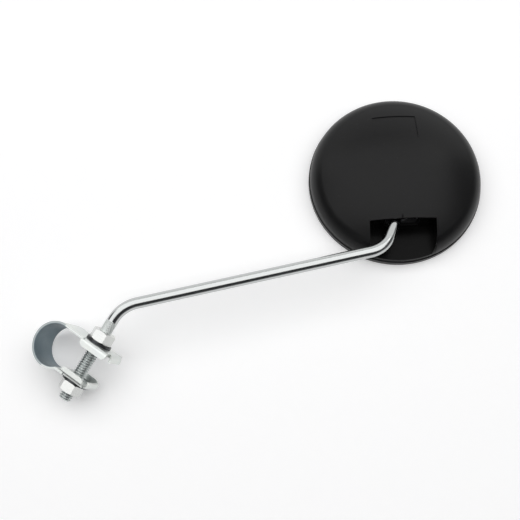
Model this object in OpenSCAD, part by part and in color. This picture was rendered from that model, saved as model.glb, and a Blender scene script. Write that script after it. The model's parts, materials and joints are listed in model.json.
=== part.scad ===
// Round moped mirror on a bent stalk with a strap clamp.
// It lies as photographed: the head face down on its rim, the clamp on the edge of its strap.
// Millimetres. The origin is the centre of the clamp bore, Z is up from the table.

/* [Head] */
// Outer diameter of the rim ring round the glass
head_d = 110; // [104:1:118]
// Height of the dome back above the table
dome_h = 30; // [28:0.5:32]
// Radius of the shallow dome
dome_r = 95; // [88:1:110]
// Radius of the rounded shoulder between dome and wall
shoulder_r = 14; // [11:0.5:15]
// Wall thickness of the moulded housing
wall = 2.2; // [1.8:0.1:2.6]
// Turn of the head on the table about the ball
head_yaw = 2.7; // [-10:0.1:6]

/* [Marking panel] */
// Length of the bare recessed panel across the head
panel_l = 27.2; // [20:0.2:34]
// Breadth of the panel along the slope of the dome
panel_b = 17.3; // [12:0.1:20]
// Depth of the panel below the dome
panel_deep = 0.45; // [0.3:0.05:0.8]
// Distance of the panel middle from the head middle
panel_off = 28.6; // [24:0.1:30]

/* [Stalk pocket] */
// Width of the pocket in the dome where the stalk enters
pocket_w = 41.2; // [38:0.2:44]
// Distance of the pocket head wall from the head middle
pocket_top = 32.4; // [32:0.1:34]
// Radius of the two lower pocket corners
pocket_r = 14; // [12:0.5:15]
// Top of the pocket floor above the table
floor_z = 6.5; // [6:0.1:7]
// Height of the sill where the pocket runs out over the rim
sill_z = 7.5; // [7:0.1:8]
// Thickness of the pocket floor
floor_t = 1.8; // [1.4:0.1:2]
// Thickness of the pocket side walls
pocket_wall = 2; // [1.6:0.1:2.4]

/* [Glass and rim] */
// Thickness of the mirror glass
glass_t = 2.2; // [1.8:0.1:2.4]
// Thickness of the lip in front of the glass
lip_t = 1.2; // [1:0.1:1.4]
// Width of the lip that shows in front of the glass
lip_w = 3.5; // [2.5:0.1:5]
// Height of the rim ring
rim_h = 4.2; // [4:0.1:4.4]
// Wall of the rim ring round the glass
rim_t = 1.3; // [1:0.1:1.6]
// Thickness of the foam pad behind the glass
pad_t = 1; // [0.6:0.1:1.1]
// Gap round the foam pad inside the housing wall
pad_inset = 2.2; // [1.6:0.1:8]

/* [Ball joint] */
// Diameter of the ball
ball_d = 12; // [11.4:0.1:12.2]
// Distance of the ball from the head middle
ball_off = 21.5; // [20.5:0.1:22]
// Height of the ball centre above the table
ball_z = 14; // [13.8:0.1:14.4]
// Thickness of the nylon seat halves
seat_t = 1.7; // [1.5:0.1:1.9]
// Running clearance on each spherical face
joint_gap = 0.1; // [0.06:0.01:0.12]
// Thickness of the steel cup plate
plate_t = 1.2; // [1:0.1:1.3]
// Half angle the stalk may swing through in the mouth
mouth_half = 30; // [28:1:31]
// Reach of the mouth from the ball centre
mouth_l = 17; // [14:0.5:18]
// Depth of the mouth below the ball centre
mouth_low = 4.7; // [4.4:0.1:4.9]
// Height of the mouth
mouth_h = 13.9; // [13:0.1:14.2]
// Angle below level that the seat slot reaches
slot_low = 38; // [34:1:42]
// Angle above level that the seat slot reaches
slot_high = 60; // [54:1:62]
// Diameter of the circle the plate screws stand on
screw_circle = 28; // [27:0.5:29]
// Thread diameter of the plate screws
screw_d = 2.9; // [2.5:0.1:3]
// Outer radius of the bosses the plate screws go up into
boss_r = 3.2; // [3:0.1:3.4]

/* [Stalk] */
// Diameter of the stalk rod
rod_d = 7; // [6.4:0.1:7.1]
// Diameter over the threaded end
thread_d = 7.9; // [7.6:0.05:8]
// Length of the threaded end below the bolt foot
thread_tail = 24.5; // [21:0.5:28]
// Diameter of the knurled collar
knurl_d = 7.3; // [7.1:0.1:7.6]
// Length of the knurled collar
knurl_l = 7.2; // [5:0.1:8]
// Bolt foot to the first bend along the thread
rise = 39.8; // [39:0.1:46]
// Radius of the first bend
bend1_r = 22; // [16:0.5:23.5]
// Length between the two bends
run = 161.5; // [120:0.5:200]
// Plan direction of that length
run_az = 13.1; // [10:0.1:16]
// Radius of the second bend
bend2_r = 17.5; // [14:0.5:20]
// Second bend to the ball centre
end_l = 35.5; // [34:0.1:40]
// Plan direction of the length that ends in the ball
end_az = 69.8; // [66:0.1:74]
// Fall of that length towards the ball
end_dip = 20; // [18:0.5:22]
// Diameter of the pin that carries the ball
pin_d = 5; // [4:0.1:5.2]

/* [Clamp strap] */
// Diameter of the handlebar the strap closes on
bar_d = 25.4; // [22:0.1:27]
// Sheet thickness of the strap
sheet = 1.5; // [1.2:0.1:1.8]
// Width of the strap along the bar
strap_w = 21; // [18:0.5:24]
// Outer face of the upper ear above the bar centre
ear_up = 14; // [11:0.1:14.1]
// Outer face of the lower ear below the bar centre
ear_down = 11.2; // [10:0.1:12]
// Reach of the upper ear from the bar centre
reach_up = 35; // [32:0.5:38]
// Reach of the lower ear from the bar centre
reach_down = 31; // [29:0.5:36]
// Depth of the flanges turned inward on the ears
flange = 5; // [3.5:0.1:5.5]
// Inner radius of the bends from ring to ears
neck_r = 2.2; // [1.6:0.1:3]
// Distance of the threaded end from the bar centre
bolt_off = 19.2; // [18.8:0.1:21]
// Diameter of the bolt holes in the ears
hole_d = 9; // [8.6:0.1:9.6]

/* [Nuts and washers] */
// Width across the flats of the nuts
nut_af = 13; // [12:0.5:13.5]
// Height of the nuts
nut_h = 6.5; // [5.5:0.1:6.8]
// Turn of the nuts on the thread
nut_turn = 9; // [0:1:59]
// Radial play of the nuts on the plain thread cylinder
nut_gap = 0.08; // [0.05:0.01:0.1]
// Outside diameter of the washers
washer_d = 16; // [15:0.5:16]
// Thickness of the washers
washer_t = 1.6; // [1.2:0.1:2]

/* [Lying pose] */
// Turn of the clamp about the table X axis
lie_x = 15.5; // [14:0.1:17]
// Turn of the clamp about the table Y axis
lie_y = -10.5; // [-12:0.1:-9]
// Turn of the clamp about the table Z axis
lie_z = -36.1; // [-38:0.1:-34]

/* [Hidden] */
$fn = 96;

// Clamp axes in the table frame: e points from the bore to the bolt, t runs up the thread,
// u is the bore axis.
e = [cos(lie_z) * cos(lie_y), sin(lie_z) * cos(lie_y), -sin(lie_y)];
t = [cos(lie_z) * sin(lie_y) * sin(lie_x) - sin(lie_z) * cos(lie_x),
     sin(lie_z) * sin(lie_y) * sin(lie_x) + cos(lie_z) * cos(lie_x),
     cos(lie_y) * sin(lie_x)];
u = cross(e, t);

// Strap
ring_in = bar_d / 2;
ring_out = ring_in + sheet;
ring_m = ring_in + sheet / 2;
neck_m = neck_r + sheet / 2;
function neck_x(h) = sqrt(pow(ring_m + neck_m, 2) - pow(h + neck_m, 2));
function neck_at(h) = atan2(h + neck_m, neck_x(h));
// The lowest point of the tilted ring touches the table.
table_z = -(strap_w / 2 * u[2] + ring_out * sqrt(1 - u[2] * u[2]));

// Stack on the thread, measured along t from the bolt foot
washer_up = ear_up;
nut_up = washer_up + washer_t;
knurl_s = nut_up + nut_h;
rod_s = knurl_s + knurl_l;
washer_down = -ear_down - washer_t;
nut_down = washer_down - nut_h;

// Centre line of the stalk
foot = bolt_off * e;
v1 = foot + rise * t;
d3 = [cos(end_dip) * cos(end_az), cos(end_dip) * sin(end_az), -sin(end_dip)];
v2z = table_z + ball_z - end_l * d3[2];
run_el = asin((v2z - v1[2]) / run);
d2 = [cos(run_el) * cos(run_az), cos(run_el) * sin(run_az), sin(run_el)];
v2 = v1 + run * d2;
ball_c = v2 + end_l * d3;
fold1 = acos(t * d2);
fold2 = acos(d2 * d3);
cut1 = bend1_r * tan(fold1 / 2);
cut2 = bend2_r * tan(fold2 / 2);
ball_r = ball_d / 2;
// The ball sits between a shoulder and a peened head on its pin.
flat_in = sqrt(ball_r * ball_r - rod_d * rod_d / 4 * 0.9);
flat_out = ball_r - 1.4;

// Head frame: origin on the table under the head middle, y away from the stalk
head_c = ball_c + ball_off * [-sin(head_yaw), cos(head_yaw), 0] - [0, 0, ball_z];
rim_r = head_d / 2;
wall_r = rim_r - 0.6;
rim_in = rim_r - rim_t;
glass_r = rim_in - 0.5;
glass_top = lip_t + glass_t;
dome_cz = dome_h - dome_r;
sh_x = wall_r - shoulder_r;
sh_z = dome_cz + sqrt(pow(dome_r - shoulder_r, 2) - sh_x * sh_x);
tangent = asin(sh_x / (dome_r - shoulder_r));
seat_in = ball_r + joint_gap;
seat_out = seat_in + seat_t;
cup_in = seat_out + joint_gap;
plate_top = ball_z - 0.8;
screw_at = [90, -20, 200];
rod_way = rod_d / 2 + 0.6;

module along(p, d) {
    translate(p) rotate([0, acos(d[2] / norm(d)), atan2(d[1], d[0])]) children();
}

// Round bar bent from direction a to direction b at the corner v. It is a hair thicker
// than the straight lengths and laps 0.3 mm over their ends.
module bend(v, a, b, r, d) {
    f = acos(a * b);
    n = (b - (a * b) * a) / sin(f);
    c = v - r * tan(f / 2) * a + r * n;
    w = cross(-n, a);
    pol = acos(w[2]);
    az = atan2(w[1], w[0]);
    x0 = [cos(az) * cos(pol), sin(az) * cos(pol), -sin(pol)];
    spin = atan2(cross(x0, -n) * w, x0 * -n);
    lap = 0.3 / r * 180 / PI;
    translate(c) rotate([0, pol, az]) rotate([0, 0, spin - lap])
        rotate_extrude(angle = f + 2 * lap) translate([r, 0]) circle(d = d + 0.04);
}

module at_clamp() { rotate([lie_x, lie_y, lie_z]) children(); }
// Frame on the bolt: z runs up the thread, x away from the bore
module at_bolt(s) { at_clamp() translate([bolt_off, s, 0]) rotate([-90, 0, 0]) children(); }
module at_head() { translate(head_c) rotate([0, 0, head_yaw]) children(); }
module at_ball() { at_head() translate([0, -ball_off, 0]) children(); }
module at_end() { along(ball_c, d3) children(); }

// Reverse bend and root of one ear, seen along the bore. h is the middle plane of the ear
// above the bore centre. The bend laps a little over the ring and the ear.
module neck(h, x_end) {
    xc = neck_x(h);
    intersection() {
        translate([xc, h + neck_m]) difference() {
            circle(r = neck_m + sheet / 2 + 0.004);
            circle(r = neck_m - sheet / 2 - 0.004);
        }
        translate([xc, h + neck_m]) polygon([[0, 0],
            20 * [-cos(neck_at(h) - 2), -sin(neck_at(h) - 2)], [-20, -40], [0.1, -40]]);
    }
    translate([xc, h - sheet / 2]) square([x_end - xc, sheet]);
}

// The bent strip seen along the bore
module strap_line(x_end) {
    hu = ear_up - sheet / 2;
    hd = ear_down - sheet / 2;
    difference() {
        circle(r = ring_out);
        circle(r = ring_in);
        polygon([[0, 0], 60 * [cos(neck_at(hu)), sin(neck_at(hu))], [60, 0],
                 60 * [cos(neck_at(hd)), -sin(neck_at(hd))]]);
    }
    neck(hu, x_end);
    mirror([0, 1]) neck(hd, x_end);
}

// Cross section of an ear seen along its length: a channel with rounded bends
module channel(depth) {
    r = sheet + 0.8;
    difference() {
        union() {
            translate([-strap_w / 2 + r, 0]) square([strap_w - 2 * r, depth]);
            translate([-strap_w / 2, r]) square([strap_w, depth - r]);
            for (m = [-1, 1]) translate([m * (strap_w / 2 - r), r]) circle(r = r);
        }
        translate([-strap_w / 2 + r, sheet]) square([strap_w - 2 * r, depth]);
        translate([-strap_w / 2 + sheet, r]) square([strap_w - 2 * sheet, depth]);
        for (m = [-1, 1]) translate([m * (strap_w / 2 - r), r]) circle(r = r - sheet);
    }
}

// Side view of the flanges: rounded free corners, cut away under the bore
module flange_side(x0, x1, depth) {
    r = depth - sheet - 0.5;
    translate([x0, 0]) square([x1 - x0, depth - r]);
    translate([x0 + r, 0]) square([x1 - x0 - 2 * r, depth]);
    translate([x0 + r, depth - r]) circle(r = r);
    translate([x1 - r, depth - r]) circle(r = r);
}

// One ear with its outer face on y = 0 and its flanges towards +y
module ear(x0, x1) {
    notch = 2.4;
    ro = sheet + 0.8;
    w_lip = strap_w - 2 * (sheet + 2.6);
    // channel with both side flanges
    intersection() {
        translate([x0, 0, 0]) rotate([0, 90, 0]) linear_extrude(height = x1 - x0) channel(flange);
        translate([0, 0, -strap_w]) linear_extrude(height = 2 * strap_w)
            flange_side(x0, x1 - notch, flange);
    }
    // end lip, bent up between the notches
    translate([0, 0, -w_lip / 2]) linear_extrude(height = w_lip) {
        translate([x1 - notch - 3, 0]) square([notch + 3 - ro, sheet]);
        intersection() {
            translate([x1 - ro, ro]) difference() { circle(r = ro); circle(r = ro - sheet); }
            translate([x1 - ro, 0]) square([ro, ro]);
        }
        translate([x1 - sheet, ro]) square([sheet, flange - 0.6 - ro]);
    }
}

module clamp_strap() color([0.78, 0.80, 0.79]) at_clamp() difference() {
    union() {
        translate([0, 0, -strap_w / 2]) linear_extrude(height = strap_w) strap_line(14.5);
        translate([0, ear_up, 0]) mirror([0, 1, 0]) ear(13, reach_up);
        translate([0, -ear_down, 0]) ear(12, reach_down);
    }
    translate([bolt_off, 0, 0]) rotate([90, 0, 0])
        cylinder(d = hole_d, h = 2 * ring_out + 10, center = true);
}

module washer(s) at_bolt(s) difference() {
    cylinder(d = washer_d, h = washer_t);
    translate([0, 0, -1]) cylinder(d = thread_d + 0.6, h = washer_t + 2);
}

// Hexagon nut with turned chamfers on both ends
module nut(s) at_bolt(s) difference() {
    intersection() {
        rotate([0, 0, nut_turn]) cylinder(d = nut_af / cos(30), h = nut_h, $fn = 6);
        rotate_extrude() polygon([[0, 0], [nut_af / 2 - 0.1, 0], [nut_af / 2 + 1.2, 0.75],
            [nut_af / 2 + 1.2, nut_h - 0.75], [nut_af / 2 - 0.1, nut_h], [0, nut_h]]);
    }
    translate([0, 0, -1]) cylinder(d = thread_d + 2 * nut_gap, h = nut_h + 2);
    for (end = [0, 1]) translate([0, 0, end * nut_h]) mirror([0, 0, end])
        rotate_extrude() polygon([[0, -0.5], [thread_d / 2 + 0.9, -0.5], [thread_d / 2 + 0.9, 0],
            [thread_d / 2, 0.8], [0, 0.8]]);
}

module upper_washer() color([0.35, 0.36, 0.37]) washer(washer_up);
module upper_nut() color([0.75, 0.76, 0.78]) nut(nut_up);
module lower_washer() color([0.75, 0.76, 0.78]) washer(washer_down);
module lower_nut() color([0.75, 0.76, 0.78]) nut(nut_down);

// One rod: threaded end, knurled collar, two bends and the pin that carries the ball
module stalk() color([0.8, 0.8, 0.82]) {
    // threaded end with a chamfered tip
    at_bolt(-thread_tail) rotate_extrude() polygon([[0, 0], [thread_d / 2 - 1, 0],
        [thread_d / 2, 1], [thread_d / 2, thread_tail + knurl_s], [0, thread_tail + knurl_s]]);
    // knurled collar
    at_bolt(knurl_s - 1) cylinder(d = knurl_d, h = knurl_l + 1);
    at_bolt(rod_s - 1) cylinder(d = rod_d, h = rise - cut1 - rod_s + 1);
    bend(v1, t, d2, bend1_r, rod_d);
    along(v1 + cut1 * d2, d2) cylinder(d = rod_d, h = run - cut1 - cut2);
    bend(v2, d2, d3, bend2_r, rod_d);
    along(v2 + cut2 * d3, d3) cylinder(d = rod_d, h = end_l - cut2 - flat_in);
    // pin through the ball and its peened head
    at_end() {
        translate([0, 0, -flat_in - 1]) cylinder(d = pin_d, h = flat_in + flat_out + 1.3);
        translate([0, 0, flat_out + 0.05]) cylinder(d1 = pin_d + 1, d2 = pin_d, h = 0.5);
    }
}

// Turned ball with a flat on each side of its bore
module ball() color([0.6, 0.6, 0.62]) at_end() difference() {
    sphere(r = ball_r);
    translate([0, 0, -flat_in + 0.05 - 10]) cylinder(r = 10, h = 10);
    translate([0, 0, flat_out]) cylinder(r = 10, h = 10);
    translate([0, 0, -10]) cylinder(d = pin_d + 0.1, h = 20);
}

// Both seat halves are cut from one hollow sphere with an upright slot for the rod.
module seat(up) difference() {
    sphere(r = seat_out);
    sphere(r = seat_in);
    translate([-20, -20, up ? -40 : 0]) cube([40, 40, 40]);
    // slot towards the side the rod comes from
    rotate([90, 0, 0]) translate([0, 0, -rod_d / 2 - 0.3]) linear_extrude(height = rod_d + 0.6)
        polygon([[0, 0], 20 * [-cos(slot_low), -sin(slot_low)], [-40, 0],
            20 * [-cos(slot_high), sin(slot_high)]]);
}
module upper_seat() color([0.93, 0.92, 0.86])
    translate(ball_c) rotate([0, 0, end_az]) seat(true);
module lower_seat() color([0.93, 0.92, 0.86])
    translate(ball_c) rotate([0, 0, end_az]) seat(false);

// Outline of the dome solid moved inward by d: shallow dome, shoulder and upright wall
module dome_half(d, z0) {
    difference() {
        union() {
            intersection() {
                translate([0, dome_cz]) circle(r = dome_r - d, $fn = 360);
                polygon([[0, dome_cz], [150 * sin(tangent), dome_cz + 150 * cos(tangent)],
                         [0, dome_cz + 150]]);
            }
            intersection() {
                translate([sh_x, sh_z]) circle(r = shoulder_r - d);
                translate([0, sh_z]) square([wall_r + 1, shoulder_r + 1]);
            }
            translate([0, dome_cz]) square([wall_r - d, sh_z - dome_cz]);
        }
        translate([-1, -200]) square([200, 200 + z0]);
    }
}
module dome(d, z0) rotate_extrude($fn = 180) dome_half(d, z0);

// Plan of the pocket grown by g
module pocket_plan(g) {
    x = pocket_w / 2 - pocket_r;
    y = wall_r + 2.6 - pocket_r;
    translate([-pocket_w / 2 - g, -y]) square([pocket_w + 2 * g, y - pocket_top + g]);
    translate([-x, -y - pocket_r - g]) square([2 * x, pocket_r + g + 1]);
    intersection() {
        for (m = [-1, 1]) translate([m * x, -y]) circle(r = pocket_r + g);
        translate([-100, -y - 99]) square([200, 100]);
    }
}

// Plan of the mouth the rod swings in, seen from the ball with the stalk towards -y
module mouth_plan(w, len) {
    for (a = [-mouth_half, mouth_half]) rotate(a) translate([-w, -len]) square([2 * w, len]);
    polygon([[0, 0], [-len * sin(mouth_half), -len * cos(mouth_half)], [0, -len],
             [len * sin(mouth_half), -len * cos(mouth_half)]]);
}

module mouth() translate([0, -ball_off, ball_z - mouth_low]) linear_extrude(height = mouth_h)
    mouth_plan(rod_way, mouth_l);

module housing() color([0.09, 0.09, 0.09]) at_head() difference() {
    union() {
        // moulded shell with its skirt on the glass
        difference() {
            dome(0, rim_h);
            dome(wall, rim_h - 1);
        }
        translate([0, 0, glass_top]) difference() {
            cylinder(r = rim_in - 0.1, h = rim_h - glass_top, $fn = 180);
            translate([0, 0, -1]) cylinder(r = wall_r - wall, h = rim_h, $fn = 180);
        }
        intersection() {
            dome(0.4, rim_h);
            union() {
                // walls and floor of the pocket
                translate([0, 0, floor_z - floor_t]) linear_extrude(height = 40)
                    pocket_plan(pocket_wall);
                // block round the upper half of the ball
                translate([0, -ball_off, plate_top]) cylinder(r = cup_in + 2.3, h = 30);
                // screw bosses with a rib each
                for (a = screw_at) translate([0, -ball_off, plate_top]) rotate([0, 0, a]) {
                    translate([screw_circle / 2, 0, 0]) cylinder(r = boss_r, h = 30);
                    translate([cup_in + 1, -0.8, 0.6]) cube([screw_circle / 2 - cup_in - 1, 1.6, 30]);
                }
            }
        }
    }
    // pocket, deeper inside than over the rim
    translate([0, 0, sill_z]) linear_extrude(height = 40) pocket_plan(0);
    intersection() {
        translate([0, 0, floor_z]) linear_extrude(height = 3) pocket_plan(0);
        cylinder(r = wall_r - wall, h = 40, $fn = 180);
    }
    mouth();
    translate([0, -ball_off, ball_z]) sphere(r = cup_in);
    for (a = screw_at) translate([0, -ball_off, plate_top - 1]) rotate([0, 0, a])
        translate([screw_circle / 2, 0, 0]) cylinder(d = screw_d + 0.1, h = 8.6);
    // bare marking panel, its floor concentric with the dome
    translate([0, 0, dome_cz]) difference() {
        rotate([-asin(panel_off / dome_r), 0, 0])
            translate([-panel_l / 2, -panel_b / 2, dome_r - 5]) cube([panel_l, panel_b, 8]);
        sphere(r = dome_r - panel_deep, $fn = 360);
    }
}

module cup_plate() color([0.7, 0.71, 0.72]) at_ball() difference() {
    union() {
        intersection() {
            translate([0, 0, ball_z]) sphere(r = cup_in + plate_t);
            translate([0, 0, plate_top - 20]) cylinder(r = 20, h = 20);
        }
        translate([0, 0, plate_top - plate_t]) linear_extrude(height = plate_t) {
            circle(r = cup_in + 2.3);
            for (a = screw_at) rotate(a) {
                translate([0, -3.6]) square([screw_circle / 2, 7.2]);
                translate([screw_circle / 2, 0]) circle(r = 3.6);
            }
        }
    }
    translate([0, 0, ball_z]) sphere(r = cup_in);
    translate([0, ball_off, 0]) mouth();
    for (a = screw_at) rotate([0, 0, a]) translate([screw_circle / 2, 0, 0])
        cylinder(d = screw_d + 0.5, h = 40);
}

module at_screw(i) at_ball() rotate([0, 0, screw_at[i]])
    translate([screw_circle / 2, 0, plate_top - plate_t]) children();

// Split spring washer under the screw head
module spring_washer(i) color([0.6, 0.61, 0.62]) at_screw(i) translate([0, 0, -0.8])
    difference() {
        cylinder(d = screw_d + 2.9, h = 0.8);
        translate([0, 0, -1]) cylinder(d = screw_d + 0.3, h = 3);
        rotate([0, 30, 100]) translate([0, -0.25, -3]) cube([6, 0.5, 6]);
    }

// Pan head screw driven up into its boss, with a cross recess
module plate_screw(i) color([0.66, 0.67, 0.68]) at_screw(i) difference() {
    union() {
        translate([0, 0, -0.8]) cylinder(d = screw_d, h = plate_t + 8.2);
        translate([0, 0, -2.8]) rotate_extrude() polygon([[0, 0], [2.1, 0], [2.8, 0.7],
            [2.8, 2], [0, 2]]);
    }
    for (a = [45, 135]) rotate([0, 0, a]) translate([-1.5, -0.35, -3.8]) cube([3, 0.7, 2.1]);
}

module backing_pad() color([0.25, 0.25, 0.26]) at_head()
    translate([0, 0, glass_top]) cylinder(r = wall_r - wall - pad_inset, h = pad_t, $fn = 180);
module mirror_glass() color([0.82, 0.86, 0.88]) at_head()
    translate([0, 0, lip_t]) cylinder(r = glass_r, h = glass_t, $fn = 180);
module rim_ring() color([0.12, 0.12, 0.12]) at_head() rotate_extrude($fn = 180) {
    r = 0.6;
    translate([rim_r - r, r]) circle(r = r, $fn = 24);
    translate([rim_r - r, rim_h - r]) circle(r = r, $fn = 24);
    translate([rim_in, r]) square([rim_t, rim_h - 2 * r]);
    translate([rim_in, 0]) square([rim_t - r, rim_h]);
    translate([rim_in - 0.5 - lip_w + 1.8, 0]) square([lip_w, lip_t]);
}

clamp_strap();
upper_washer();
upper_nut();
lower_washer();
lower_nut();
stalk();
ball();
upper_seat();
lower_seat();
housing();
cup_plate();
plate_screw(0);  // plate_screw_1
plate_screw(1);  // plate_screw_2
plate_screw(2);  // plate_screw_3
spring_washer(0);  // spring_washer_1
spring_washer(1);  // spring_washer_2
spring_washer(2);  // spring_washer_3
backing_pad();
mirror_glass();
rim_ring();
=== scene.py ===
import json

import bpy
import numpy as np
from mathutils import Matrix, Vector


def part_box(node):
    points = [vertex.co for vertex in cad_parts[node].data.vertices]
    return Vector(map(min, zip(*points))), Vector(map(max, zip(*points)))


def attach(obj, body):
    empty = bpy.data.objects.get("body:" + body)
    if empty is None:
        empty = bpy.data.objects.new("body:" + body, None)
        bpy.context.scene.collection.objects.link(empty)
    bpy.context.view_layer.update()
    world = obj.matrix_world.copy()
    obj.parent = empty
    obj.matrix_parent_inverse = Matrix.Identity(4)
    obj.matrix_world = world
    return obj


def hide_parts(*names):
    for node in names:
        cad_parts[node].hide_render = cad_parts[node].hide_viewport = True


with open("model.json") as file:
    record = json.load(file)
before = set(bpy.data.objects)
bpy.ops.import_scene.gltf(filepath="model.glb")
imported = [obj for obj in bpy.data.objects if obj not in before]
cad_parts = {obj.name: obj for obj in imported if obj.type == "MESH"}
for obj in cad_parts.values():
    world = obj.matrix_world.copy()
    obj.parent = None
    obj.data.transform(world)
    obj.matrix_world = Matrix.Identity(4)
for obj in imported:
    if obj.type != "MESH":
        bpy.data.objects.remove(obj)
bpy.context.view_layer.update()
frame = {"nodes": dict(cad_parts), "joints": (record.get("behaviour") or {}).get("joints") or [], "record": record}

# Strap clamp. One strip of sheet steel bent into a ring with two flanged ears, bright zinc
# plated after forming. The nuts draw the ears together until the ring grips the handlebar.
MM = 0.001
CLOUD_SCALE = 55.0
CLOUD_FROM = 0.35
CLOUD_GAIN = 2.4
CLOUD_HAZE = 0.16
SCRATCH_SCALE = 900.0
SCRATCH_HAZE = 0.12
ROLLED_LONG = (3.0, 3.0, 0.25)
PEEL_MM = 0.03
ZINC_LIGHT = (0.76, 0.78, 0.745, 1.0)
ZINC_DARK = (0.65, 0.68, 0.67, 1.0)
ZINC_ROUGH = 0.32
# The slate tones below are painted shade and dark reflection on the ring's inner face and on its cut edges away
# from the ears.
RING_SHADE_SLATE = (0.13, 0.175, 0.20, 1.0)
RING_SHADE_SLATE_PALE = (0.25, 0.30, 0.325, 1.0)
INNER_SKIN = 0.25 * MM
EDGE_SKIN = 1.42 * MM
EDGE_SHADE_SHARE = 0.55
handlebar = frame["record"]["mounts"][0]
BORE_R = handlebar["dims"]["r_mm"] * MM
bore_dir = Vector(handlebar["axis"])
joints = {joint["name"]: joint for joint in frame["joints"]}
ear_dir = Vector(joints["stalk_swivel"]["pos_m"]).normalized()


class Val:
    """One shader socket. + - * / < and > on values add Math nodes, also when the plain
    number stands first."""

    def __init__(self, tree, socket):
        self.tree = tree
        self.socket = socket

    def _math(self, operation, *values):
        node = self.tree.nodes.new("ShaderNodeMath")
        node.operation = operation
        for place, value in enumerate(values):
            if isinstance(value, Val):
                self.tree.links.new(value.socket, node.inputs[place])
            else:
                node.inputs[place].default_value = value
        return Val(self.tree, node.outputs[0])

    def __add__(self, other):
        return self._math("ADD", self, other)

    __radd__ = __add__

    def __sub__(self, other):
        return self._math("SUBTRACT", self, other)

    def __rsub__(self, other):
        return self._math("SUBTRACT", other, self)

    def __mul__(self, other):
        return self._math("MULTIPLY", self, other)

    __rmul__ = __mul__

    def __truediv__(self, other):
        return self._math("DIVIDE", self, other)

    def __rtruediv__(self, other):
        return self._math("DIVIDE", other, self)

    def __lt__(self, other):
        return self._math("LESS_THAN", self, other)

    def __gt__(self, other):
        return self._math("GREATER_THAN", self, other)

    def clamp(self, low=0.0, high=1.0):
        return self._math("MINIMUM", self._math("MAXIMUM", self, low), high)


class Finish:
    """The shader nodes of a material or of the world. node() adds any node by type: settings
    first, then the values or links of its sockets by name or number."""

    def __init__(self, owner, output="OutputMaterial"):
        owner.use_nodes = True
        self.owner = owner
        self.tree = owner.node_tree
        self.tree.nodes.clear()
        self.out = self.tree.nodes.new("ShaderNode" + output)

    def node(self, kind, settings=None, out=0, **sockets):
        node = self.tree.nodes.new("ShaderNode" + kind)
        for name, value in (settings or {}).items():
            setattr(node, name, value)
        for name, value in sockets.items():
            key = int(name[1:]) if name[0] == "_" else name.replace("_", " ")
            if isinstance(value, Val):
                self.tree.links.new(value.socket, node.inputs[key])
            else:
                node.inputs[key].default_value = value
        return Val(self.tree, node.outputs[out])

    def place(self):
        """Object coordinates, which on every piece here are metres in the shared frame."""
        return self.node("TexCoord", out="Object")

    def length(self, vector):
        return self.node("VectorMath", {"operation": "LENGTH"}, out="Value", _0=vector)

    def along(self, vector, direction):
        """Share of a vector along a unit direction."""
        return self.node("VectorMath", {"operation": "DOT_PRODUCT"}, out="Value",
                         _0=vector, _1=direction)

    def noise(self, scale, detail=3.0, rough=0.5, at=None):
        """Cloudy noise from 0 to 1, about scale lumps to the metre."""
        at = at or self.place()
        return self.node("TexNoise", Vector=at, Scale=scale, Detail=detail, Roughness=rough)

    def mix(self, share, first, second):
        """Colour mix: first where share is 0, second where it is 1."""
        return self.node("Mix", {"data_type": "RGBA"}, out=2, _0=share, _6=first, _7=second)

    def bump(self, height, depth_mm, strength=1.0):
        """Bump from a height between 0 and 1 that stands depth_mm tall."""
        return self.node("Bump", Strength=strength, Distance=depth_mm * MM, Height=height)

    def close(self, shader):
        """Sends the last shader to the output and gives back the material or world."""
        self.tree.links.new(shader.socket, self.out.inputs["Surface"])
        return self.owner

    def surface(self, **sockets):
        return self.close(self.node("BsdfPrincipled", **sockets))


def new_finish(name):
    return Finish(bpy.data.materials.new(name))


def dress(names, material):
    """Puts one material on the CAD nodes named."""
    for name in names:
        mesh = frame["nodes"][name].data
        mesh.materials.clear()
        mesh.materials.append(material)


def ring_shade_share(finish):
    """How much painted shade and dark reflection lie on the strap: 1 on the inner face of the ring,
    a smaller set share on its cut edges away from the ears. The distance from the bore axis is
    the length of place minus its share along the axis."""
    place = finish.place()
    share = finish.along(place, bore_dir)
    axial = finish.node("VectorMath", {"operation": "SCALE"}, _0=bore_dir, Scale=share)
    radial = finish.node("VectorMath", {"operation": "SUBTRACT"}, _0=place, _1=axial)
    out = finish.length(radial)
    beside = finish.along(place, ear_dir)
    edge = (out < BORE_R + EDGE_SKIN) * (beside < 0.0) * EDGE_SHADE_SHARE
    return finish.node("Math", {"operation": "MAXIMUM"}, _0=out < BORE_R + INNER_SKIN, _1=edge)


def steel_finish(name, light, dark, rough, with_shade=False):
    """Plated or bare steel: two tones in slow clouds, fine rolling scratches and a faint
    orange peel. With the flag set, the ring's inner face and its cut edges away from the ears get
    a slate colour as painted shade and dark reflection."""
    finish = new_finish(name)
    clouds = finish.noise(CLOUD_SCALE)
    rolled = finish.node("Mapping", Vector=finish.place(), Scale=ROLLED_LONG)
    scratches = finish.noise(SCRATCH_SCALE, 2.0, at=rolled)
    tone = ((clouds - CLOUD_FROM) * CLOUD_GAIN).clamp()
    colour = finish.mix(tone, dark, light)
    # Painted shade and dark reflection: slate colour on the ring's inner face and cut edges.
    if with_shade:
        shade_slate = finish.mix(tone, RING_SHADE_SLATE, RING_SHADE_SLATE_PALE)
        colour = finish.mix(ring_shade_share(finish), colour, shade_slate)
    haze = clouds * CLOUD_HAZE + scratches * SCRATCH_HAZE
    return finish.surface(
        Base_Color=colour,
        Metallic=1.0,
        Roughness=(haze + (rough - SCRATCH_HAZE)).clamp(0.05, 0.9),
        Normal=finish.bump(scratches * 0.5 + clouds * 0.5, PEEL_MM, 0.5),
    )


dress(["clamp_strap"], steel_finish("strap_zinc", ZINC_LIGHT, ZINC_DARK, ZINC_ROUGH, with_shade=True))
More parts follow.
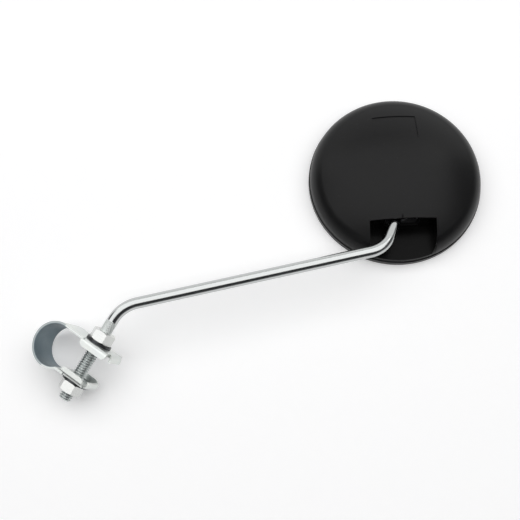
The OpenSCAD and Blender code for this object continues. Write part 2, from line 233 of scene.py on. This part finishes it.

# Nuts and washers. Cold formed M8 nuts in bright zinc, each on a flat washer stamped from steel.
# The washers are coloured nearly black as painted shade for the shadow under the nuts. They are
# screwed down on the stalk from both sides of the ears.
NUT_LIGHT = (0.74, 0.75, 0.725, 1.0)
NUT_DARK = (0.63, 0.64, 0.63, 1.0)
NUT_ROUGH = 0.26
WASHER_SHADE_LIGHT = (0.12, 0.125, 0.13, 1.0)
WASHER_SHADE_DARK = (0.05, 0.052, 0.055, 1.0)
WASHER_ROUGH = 0.38
dress(["upper_nut", "lower_nut"], steel_finish("nut_zinc", NUT_LIGHT, NUT_DARK, NUT_ROUGH))
# Painted shade: the washers' colour is nearly black for the shadow under the nuts.
dress(["upper_washer", "lower_washer"],
      steel_finish("washer_painted_shade", WASHER_SHADE_LIGHT, WASHER_SHADE_DARK, WASHER_ROUGH))

# Stalk. A 7 mm steel rod bent twice, with a rolled thread and a knurled collar at one end
# and a pin with a peened head at the other. It is plated all over, dull on thread and knurl.
# The thread roots and knurl valleys get a darker blue-grey colour as painted shade.
foot = np.array(joints["stalk_swivel"]["pos_m"])
thread_dir = np.array(joints["stalk_swivel"]["axis"])
ball_at = np.array(joints["head_twist"]["pos_m"])
end_dir = np.array(joints["head_twist"]["axis"])
POINTS_ROUND = 72
ROD_R = 3.5 * MM
THREAD_R = 3.95 * MM
THREAD_TAIL = 24.49 * MM
THREAD_TOP = 22.1 * MM
THREAD_PITCH = 1.5 * MM
THREAD_DEPTH = 0.82 * MM
ROWS_PER_TURN = 14
FLANK_SLOPE = 2.5
FLANK_CUT = 0.1
TIP_BEVEL = 1.0 * MM
KNURL_R = 3.65 * MM
KNURL_DEEP = 0.45 * MM
KNURL_END = 29.3 * MM
KNURL_RIDGES = 16
KNURL_ROWS = 64
KNURL_EASE = 0.5 * MM
KNURL_EDGE = 0.12 * MM
RISE = 39.8 * MM
BEND_1 = 22.0 * MM
BEND_2 = 17.5 * MM
END_LENGTH = 35.5 * MM
STRAIGHT_STEP = 6.0 * MM
ARC_STEP = 0.6 * MM
JOIN_GAP = 0.05 * MM
PIN_R = 2.5 * MM
PIN_END = 5.1 * MM
SHOULDER = 4.99 * MM
PEEN_R = 2.85 * MM
PEEN_BACK = np.array([0.55, 0.5, 0.12, 0.0]) * MM
PEEN_ROUNDING = np.array([0.25, 0.5]) * MM
CHROME = (0.525, 0.54, 0.535, 1.0)
CHROME_DULL = (0.76, 0.79, 0.77, 1.0)
GROOVE_SHADE_TONE = (0.18, 0.225, 0.255, 1.0)
DULL_THREAD = 0.8
GROOVE_THREAD = 0.40
GROOVE_KNURL = 0.22
CHROME_ROUGH = 0.10
DULL_HAZE = 0.24
HAZE_SCALE = 70.0
HAZE_ROUGH = 0.12
PIT_SCALE = 1400.0
PIT_MM = 0.02


def bent_path(corners, radii):
    """Points and directions along a polyline whose inner corners are rounded by arcs: each
    arc starts radius * tan(half the turn) before its corner, and is radius * angle long."""
    points, directions = [], []
    start = corners[0]
    for corner, after, radius in zip(corners[1:-1], corners[2:], radii):
        into = (corner - start) / np.linalg.norm(corner - start)
        onward = (after - corner) / np.linalg.norm(after - corner)
        turn = np.arccos(into @ onward)
        normal = (onward - (into @ onward) * into) / np.sin(turn)
        cut = radius * np.tan(turn / 2)
        arc_start = corner - cut * into
        count = max(2, int(np.linalg.norm(arc_start - start) / STRAIGHT_STEP))
        share = np.linspace(0.0, 1.0, count, endpoint=False)[:, None]
        points.append(start + share * (arc_start - start))
        directions.append(np.repeat(into[None], count, axis=0))
        angle = np.linspace(0.0, turn, int(turn * radius / ARC_STEP) + 2)[:-1, None]
        points.append(arc_start + radius * (np.sin(angle) * into + (1 - np.cos(angle)) * normal))
        directions.append(np.cos(angle) * into + np.sin(angle) * normal)
        start = corner + cut * onward
    onward = (corners[-1] - start) / np.linalg.norm(corners[-1] - start)
    count = max(2, int(np.linalg.norm(corners[-1] - start) / STRAIGHT_STEP))
    share = np.linspace(0.0, 1.0, count)[:, None]
    points.append(start + share * (corners[-1] - start))
    directions.append(np.repeat(onward[None], count, axis=0))
    return np.concatenate(points), np.concatenate(directions)


def carried_frames(directions, first):
    """Side vectors that are carried along a path without twist: each is the last one made
    square to the next direction again."""
    sides = np.empty_like(directions)
    side = first
    for place, direction in enumerate(directions):
        side = side - (side @ direction) * direction
        side = side / np.linalg.norm(side)
        sides[place] = side
    return sides, np.cross(directions, sides)


def tube_mesh(name, centres, sides, ups, radii, shades):
    """Closed tube: point = centre + radius * (cos a * side + sin a * up), radii one row for
    each centre, with a centre point closing each end. shades are stored as values per point,
    by name, in rows like the radii."""
    rows, ring = radii.shape
    angle = np.arange(ring) / ring * 2 * np.pi
    around = (np.cos(angle)[None, :, None] * sides[:, None]
              + np.sin(angle)[None, :, None] * ups[:, None])
    shell = centres[:, None] + radii[..., None] * around
    points = np.concatenate([shell.reshape(-1, 3), centres[:1], centres[-1:]])
    row, col = np.meshgrid(np.arange(rows - 1), np.arange(ring), indexing="ij")
    after = (col + 1) % ring
    quads = np.stack([row * ring + col, row * ring + after, (row + 1) * ring + after,
                      (row + 1) * ring + col], axis=-1).reshape(-1, 4)
    edge = np.arange(ring)
    beside = (edge + 1) % ring
    last_row = (rows - 1) * ring
    near_cap = np.stack([np.full(ring, rows * ring), beside, edge], axis=1)
    far_cap = np.stack([np.full(ring, rows * ring + 1), last_row + edge, last_row + beside], axis=1)
    mesh = bpy.data.meshes.new(name)
    mesh.from_pydata(points.tolist(), [], quads.tolist() + near_cap.tolist() + far_cap.tolist())
    mesh.polygons.foreach_set("use_smooth", np.ones(len(mesh.polygons), dtype=bool))
    for label, shade in shades.items():
        values = np.concatenate([shade.ravel(), shade[0, :1], shade[-1, :1]]).astype(np.float32)
        mesh.attributes.new(label, "FLOAT", "POINT").data.foreach_set("value", values)
    return mesh


# Threaded end: the phase gains one for each pitch along the rod and loses one round it. The
# crest is where it is a whole number, and the groove is deepest half way between.
turn_share = np.arange(POINTS_ROUND)[None] / POINTS_ROUND
thread_s = np.arange(-THREAD_TAIL, THREAD_TOP, THREAD_PITCH / ROWS_PER_TURN)
phase = (thread_s[:, None] / THREAD_PITCH - turn_share) % 1.0
flank = np.clip(np.abs(phase - 0.5) * FLANK_SLOPE - FLANK_CUT, 0.0, 1.0)
bevel = THREAD_R - TIP_BEVEL + (thread_s + THREAD_TAIL)
thread_radii = np.minimum(THREAD_R - THREAD_DEPTH * (1 - flank), bevel[:, None])

# Knurled collar: two crossed sets of ridges, eased out at both ends of the collar.
knurl_s = np.linspace(THREAD_TOP, KNURL_END, KNURL_ROWS)
around_phase = 2 * np.pi * KNURL_RIDGES * turn_share
slant = (knurl_s[:, None] - THREAD_TOP) * KNURL_RIDGES / KNURL_R
ridges = np.abs(np.sin((around_phase + slant) / 2)) * np.abs(np.sin((around_phase - slant) / 2))
from_ends = np.minimum(knurl_s - THREAD_TOP, KNURL_END - knurl_s)
ease = np.clip(from_ends / KNURL_EASE, 0.0, 1.0)[:, None]
knurl_radii = KNURL_R - KNURL_DEEP * (1 - ridges) * ease - KNURL_EDGE * (1 - ease)

# Bent rod, then the pin through the ball with its peened head.
rod_points, rod_dirs = bent_path(
    [foot + (KNURL_END + JOIN_GAP) * thread_dir, foot + RISE * thread_dir,
     ball_at - END_LENGTH * end_dir, ball_at - SHOULDER * end_dir], [BEND_1, BEND_2])
pin_s = np.concatenate([[-SHOULDER], PIN_END - PEEN_BACK])
pin_radii = np.concatenate([[PIN_R, PIN_R, PEEN_R], PEEN_R - PEEN_ROUNDING])

foot_s = np.concatenate([thread_s, knurl_s])
centres = np.concatenate([foot + foot_s[:, None] * thread_dir, rod_points,
                          ball_at + pin_s[:, None] * end_dir])
directions = np.concatenate([np.repeat(thread_dir[None], len(foot_s), axis=0), rod_dirs,
                             np.repeat(end_dir[None], len(pin_s), axis=0)])
sides, ups = carried_frames(directions, np.array([0.0, 0.0, 1.0]))
radii = np.concatenate([thread_radii, knurl_radii, np.full((len(rod_points), POINTS_ROUND), ROD_R),
                        np.repeat(pin_radii[:, None], POINTS_ROUND, axis=1)])
on_thread, on_knurl = slice(0, len(thread_s)), slice(len(thread_s), len(foot_s))
dull, groove = np.zeros_like(radii), np.zeros_like(radii)
dull[on_thread] = DULL_THREAD
dull[on_knurl] = 1.0
# Painted shade: darker colour in the thread roots and in the knurl valleys.
groove[on_thread] = GROOVE_THREAD * (1.0 - flank)
groove[on_knurl] = GROOVE_KNURL * (1.0 - ridges) ** 2 * ease
stalk = bpy.data.objects.new("chromed_stalk", tube_mesh(
    "chromed_stalk", centres, sides, ups, radii, {"dull": dull, "groove": groove}))
bpy.context.collection.objects.link(stalk)

chrome = new_finish("stalk_chrome")
dullness = chrome.node("Attribute", {"attribute_name": "dull"}, out="Fac")
# The groove value mixes in the painted shade colour.
groove_shade = chrome.node("Attribute", {"attribute_name": "groove"}, out="Fac")
haze = chrome.noise(HAZE_SCALE, 4.0)
pits = chrome.noise(PIT_SCALE, 1.0)
stalk.data.materials.append(chrome.surface(
    Base_Color=chrome.mix(groove_shade, chrome.mix(dullness, CHROME, CHROME_DULL), GROOVE_SHADE_TONE),
    Metallic=1.0,
    Roughness=(dullness * DULL_HAZE + haze * HAZE_ROUGH + CHROME_ROUGH).clamp(),
    Normal=chrome.bump(pits * 0.5 + haze * 0.5, PIT_MM, 0.25),
))
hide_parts("stalk")
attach(stalk, "stalk")

# Ball joint. A turned and blued steel ball on the stalk, between two black nylon seat halves.
# A pressed steel cup plate under three screws with spring washers holds it in the housing.
BLUED_LIGHT = (0.06, 0.06, 0.065, 1.0)
BLUED_DARK = (0.03, 0.03, 0.033, 1.0)
BLUED_ROUGH = 0.34
NYLON = (0.008, 0.008, 0.008, 1.0)
NYLON_WORN = (0.016, 0.016, 0.016, 1.0)
NYLON_ROUGH = 0.38
MOTTLE_SCALE = 160.0
MOTTLE_ROUGH = 0.12
MOTTLE_MM = 0.03
STEEL_LIGHT = (0.62, 0.63, 0.64, 1.0)
STEEL_DARK = (0.50, 0.51, 0.52, 1.0)
STEEL_ROUGH = 0.30
dress(["ball"], steel_finish("blued_steel", BLUED_LIGHT, BLUED_DARK, BLUED_ROUGH))
nylon = new_finish("seat_nylon")
mottle = nylon.noise(MOTTLE_SCALE)
dress(["upper_seat", "lower_seat"], nylon.surface(
    Base_Color=nylon.mix(mottle, NYLON, NYLON_WORN),
    Roughness=(mottle * MOTTLE_ROUGH + NYLON_ROUGH).clamp(),
    Normal=nylon.bump(mottle, MOTTLE_MM, 0.4),
))
dress(["cup_plate"] + [f"plate_screw_{n}" for n in (1, 2, 3)]
      + [f"spring_washer_{n}" for n in (1, 2, 3)],
      steel_finish("inner_steel", STEEL_LIGHT, STEEL_DARK, STEEL_ROUGH))

# Housing and rim ring. Both are moulded in black plastic with a fine satin grain. The ring
# snaps round the open side of the housing and holds the glass.
BLACK = (0.0065, 0.0065, 0.0068, 1.0)
BLACK_WORN = (0.013, 0.013, 0.013, 1.0)
# The pocket colour and gloss below are painted shade, blacker and duller inside the stalk pocket.
POCKET_SHADE_BLACK = (0.002, 0.002, 0.002, 1.0)
HOUSING_ROUGH = 0.34
RIM_ROUGH = 0.30
POCKET_ROUGH = 0.2
SATIN_GLOSS = 0.19
POCKET_SHADE_GLOSS = 0.08
FLOW_SCALE = 24.0
FLOW_ROUGH = 0.10
GRAIN_SCALE = 2600.0
GRAIN_ROUGH = 0.06
GRAIN_MM = 0.02
DUST_SCALE = 700.0
DUST_FROM = 0.68
DUST_GAIN = 14.0
TABLE_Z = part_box("rim_ring")[0].z
HEAD_YAW = np.radians(2.7)
HEAD_MIDDLE = (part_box("mirror_glass")[0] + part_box("mirror_glass")[1]) / 2
POCKET_HALF = 20.7 * MM
POCKET_TOP = 32.2 * MM
POCKET_SKIN = 1.0 * MM
DOME_RADIUS = 95.0 * MM
DOME_HEIGHT = 30.0 * MM
DOME_CENTRE = (HEAD_MIDDLE.x, HEAD_MIDDLE.y, TABLE_Z + DOME_HEIGHT - DOME_RADIUS)


def in_pocket(finish):
    """Mask of the painted shade in the stalk pocket: 1 on its walls and floor, within its width,
    towards the stalk from its head wall, and more than POCKET_SKIN under the sphere of the dome."""
    local = finish.node("Mapping", {"vector_type": "TEXTURE"}, Vector=finish.place(),
                        Location=DOME_CENTRE, Rotation=(0.0, 0.0, HEAD_YAW))
    x = finish.node("SeparateXYZ", out="X", Vector=local)
    y = finish.node("SeparateXYZ", out="Y", Vector=local)
    wide = (x * x) < POCKET_HALF ** 2
    return wide * (y < -POCKET_TOP) * (finish.length(local) < DOME_RADIUS - POCKET_SKIN)


def black_plastic(name, rough, pocket=False):
    """Satin black moulding: fine spark-eroded grain, slow flow marks and a little dust. With
    pocket set, the stalk pocket gets painted shade: blacker colour and less gloss, so it looks deeper."""
    finish = new_finish(name)
    flow = finish.noise(FLOW_SCALE, 4.0)
    grain = finish.noise(GRAIN_SCALE, 2.0, 0.6)
    dust = ((finish.noise(DUST_SCALE, 1.0) - DUST_FROM) * DUST_GAIN).clamp()
    colour = finish.mix(dust * 0.5, BLACK, BLACK_WORN)
    texture = finish.bump(grain, GRAIN_MM, 0.5)
    uneven = flow * FLOW_ROUGH + grain * GRAIN_ROUGH
    outside = finish.node(
        "BsdfPrincipled", Base_Color=colour, Specular_IOR_Level=SATIN_GLOSS, Normal=texture,
        Roughness=(uneven + (rough - (FLOW_ROUGH + GRAIN_ROUGH) / 2)).clamp(0.05, 0.95))
    if not pocket:
        return finish.close(outside)
    # Painted shade in the stalk pocket: blacker colour and less gloss.
    pocket_shade = finish.node(
        "BsdfPrincipled", Base_Color=POCKET_SHADE_BLACK, Specular_IOR_Level=POCKET_SHADE_GLOSS,
        Normal=texture, Roughness=(flow * FLOW_ROUGH + POCKET_ROUGH).clamp())
    return finish.close(finish.node("MixShader", _0=in_pocket(finish), _1=outside, _2=pocket_shade))


dress(["housing"], black_plastic("housing_black", HOUSING_ROUGH, pocket=True))
dress(["rim_ring"], black_plastic("rim_black", RIM_ROUGH))

# Mirror glass and pad. Flat float glass silvered on its back, laid on a thin foam pad that
# presses it against the lip of the rim ring.
SILVER = (0.86, 0.88, 0.885, 1.0)
GLASS_ROUGH = 0.004
SMEAR_SCALE = 18.0
SMEAR_ROUGH = 0.03
FOAM_ROUGH = 0.85
CELL_SCALE = 1800.0
CELL_ROUGH = 0.1
CELL_MM = 0.15
FOAM_DARK = (0.03, 0.03, 0.032, 1.0)
FOAM_LIGHT = (0.075, 0.075, 0.08, 1.0)
silver = new_finish("glass_silver")
smear = silver.noise(SMEAR_SCALE)
dress(["mirror_glass"], silver.surface(
    Base_Color=SILVER, Metallic=1.0,
    Roughness=(smear * SMEAR_ROUGH + GLASS_ROUGH).clamp(),
    Coat_Weight=1.0, Coat_Roughness=0.01,
))
foam = new_finish("pad_foam")
cells = foam.noise(CELL_SCALE, 2.0, 0.7)
dress(["backing_pad"], foam.surface(
    Base_Color=foam.mix(cells, FOAM_DARK, FOAM_LIGHT),
    Roughness=(cells * CELL_ROUGH + FOAM_ROUGH).clamp(),
    Normal=foam.bump(cells, CELL_MM, 0.8),
))

# Table. The mirror lies on white paper. Camera and gloss see it a little lifted near the
# object, where it keeps the shadow, and fading to plain white further off.
WHITE = (1.0, 1.0, 1.0, 1.0)
PAPER_WHITE = (0.95, 0.95, 0.95, 1.0)
PAPER_HALF = 3.0
PAPER_MIDDLE = np.array([0.12, 0.05])
PAPER_LIFT = 0.19
FADE_FROM = 0.45
FADE_OVER = 0.9


def seen_by(finish):
    """1 for rays from the camera and for rays that a glossy surface reflects."""
    return (finish.node("LightPath", out="Is Camera Ray")
            + finish.node("LightPath", out="Is Glossy Ray")).clamp()


paper_corners = np.array([[-1, -1], [1, -1], [1, 1], [-1, 1]]) * PAPER_HALF + PAPER_MIDDLE
paper_mesh = bpy.data.meshes.new("table")
paper_mesh.from_pydata([(x, y, TABLE_Z) for x, y in paper_corners.tolist()], [], [(0, 1, 2, 3)])
table = bpy.data.objects.new("table", paper_mesh)
bpy.context.collection.objects.link(table)
paper = new_finish("table_paper")
seen = seen_by(paper)
diffuse = paper.node("BsdfDiffuse", Color=PAPER_WHITE)
glow = paper.node("Emission", Color=WHITE, Strength=PAPER_LIFT)
lifted = paper.node("AddShader", _0=diffuse, _1=glow)
near = paper.node("MixShader", _0=seen, _1=diffuse, _2=lifted)
far = paper.node("Emission", Color=WHITE, Strength=1.0)
fade = ((paper.length(paper.place()) - FADE_FROM) / FADE_OVER).clamp()
table.data.materials.append(paper.close(paper.node("MixShader", _0=fade * seen, _1=near, _2=far)))

# Room. One soft overhead lamp, a white backdrop for camera and gloss, and a dark felt booth
# whose door stands open behind the table. Its walls give the rod the dark stripe it shows.
LAMP_AT = Vector((0.06, 0.37, 1.15))
LAMP_AIM = Vector((0.06, 0.36, 0.0))
LAMP_SIZE = (3.1, 1.86)
LAMP_POWER = 27.0
ROOM_TONE = (0.088, 0.088, 0.100, 1.0)
FELT = (0.30, 0.30, 0.31, 1.0)
BOOTH_RADIUS = 2.3
BOOTH_HEIGHT = 2.6
BOOTH_SIDES = 72
DOOR_HEIGHT = 1.7
DOOR_FROM, DOOR_TO = np.radians(30.0), np.radians(150.0)


def booth_mesh():
    """Upright cylinder with a lid: the wall point at angle a is (radius cos a, radius sin a),
    from the table up, but over the door only from the door's height up."""
    angle = np.arange(BOOTH_SIDES) / BOOTH_SIDES * 2 * np.pi
    foot_z = np.where((angle > DOOR_FROM) & (angle < DOOR_TO), DOOR_HEIGHT, TABLE_Z)
    top_z = np.full(BOOTH_SIDES, BOOTH_HEIGHT)
    x, y = BOOTH_RADIUS * np.cos(angle), BOOTH_RADIUS * np.sin(angle)
    points = np.concatenate([np.stack([x, y, foot_z], axis=1), np.stack([x, y, top_z], axis=1)])
    side = np.arange(BOOTH_SIDES)
    after = (side + 1) % BOOTH_SIDES
    walls = np.stack([after, side, side + BOOTH_SIDES, after + BOOTH_SIDES], axis=1)
    mesh = bpy.data.meshes.new("dark_flag")
    mesh.from_pydata(points.tolist(), [], walls.tolist() + [(side + BOOTH_SIDES).tolist()])
    return mesh


booth = bpy.data.objects.new("dark_flag", booth_mesh())
bpy.context.collection.objects.link(booth)
booth.visible_camera = False
felt = new_finish("flag_felt")
booth.data.materials.append(felt.close(felt.node("BsdfDiffuse", Color=FELT)))

lamp_data = bpy.data.lights.new("overhead_box", "AREA")
lamp_data.shape = "RECTANGLE"
lamp_data.size, lamp_data.size_y = LAMP_SIZE
lamp_data.energy = LAMP_POWER
lamp = bpy.data.objects.new("overhead_box", lamp_data)
lamp_turn = (LAMP_AIM - LAMP_AT).to_track_quat("-Z", "Y").to_matrix().to_4x4()
lamp.matrix_world = Matrix.Translation(LAMP_AT) @ lamp_turn
bpy.context.collection.objects.link(lamp)

scene = bpy.context.scene
room = Finish(bpy.data.worlds.new("room"), "OutputWorld")
backdrop = room.mix(seen_by(room), ROOM_TONE, WHITE)
scene.world = room.close(room.node("Background", Color=backdrop, Strength=1.0))

# Camera. It looks down from 72 degrees above the table. Lens and place were worked out from
# the rim, the rod and the clamp in the photograph.
CAMERA_AT = Vector((117.8, -125.6, 566.3)) * MM
CAMERA_LEAN = np.radians(17.6)
LENS_MM = 67.15
SENSOR_MM = 36.0
camera_data = bpy.data.cameras.new("camera")
camera_data.lens = LENS_MM
camera_data.sensor_width = SENSOR_MM
camera = bpy.data.objects.new("camera", camera_data)
camera.matrix_world = Matrix.Translation(CAMERA_AT) @ Matrix.Rotation(CAMERA_LEAN, 4, "X")
bpy.context.collection.objects.link(camera)
scene.camera = camera
scene.view_settings.view_transform = "Standard"
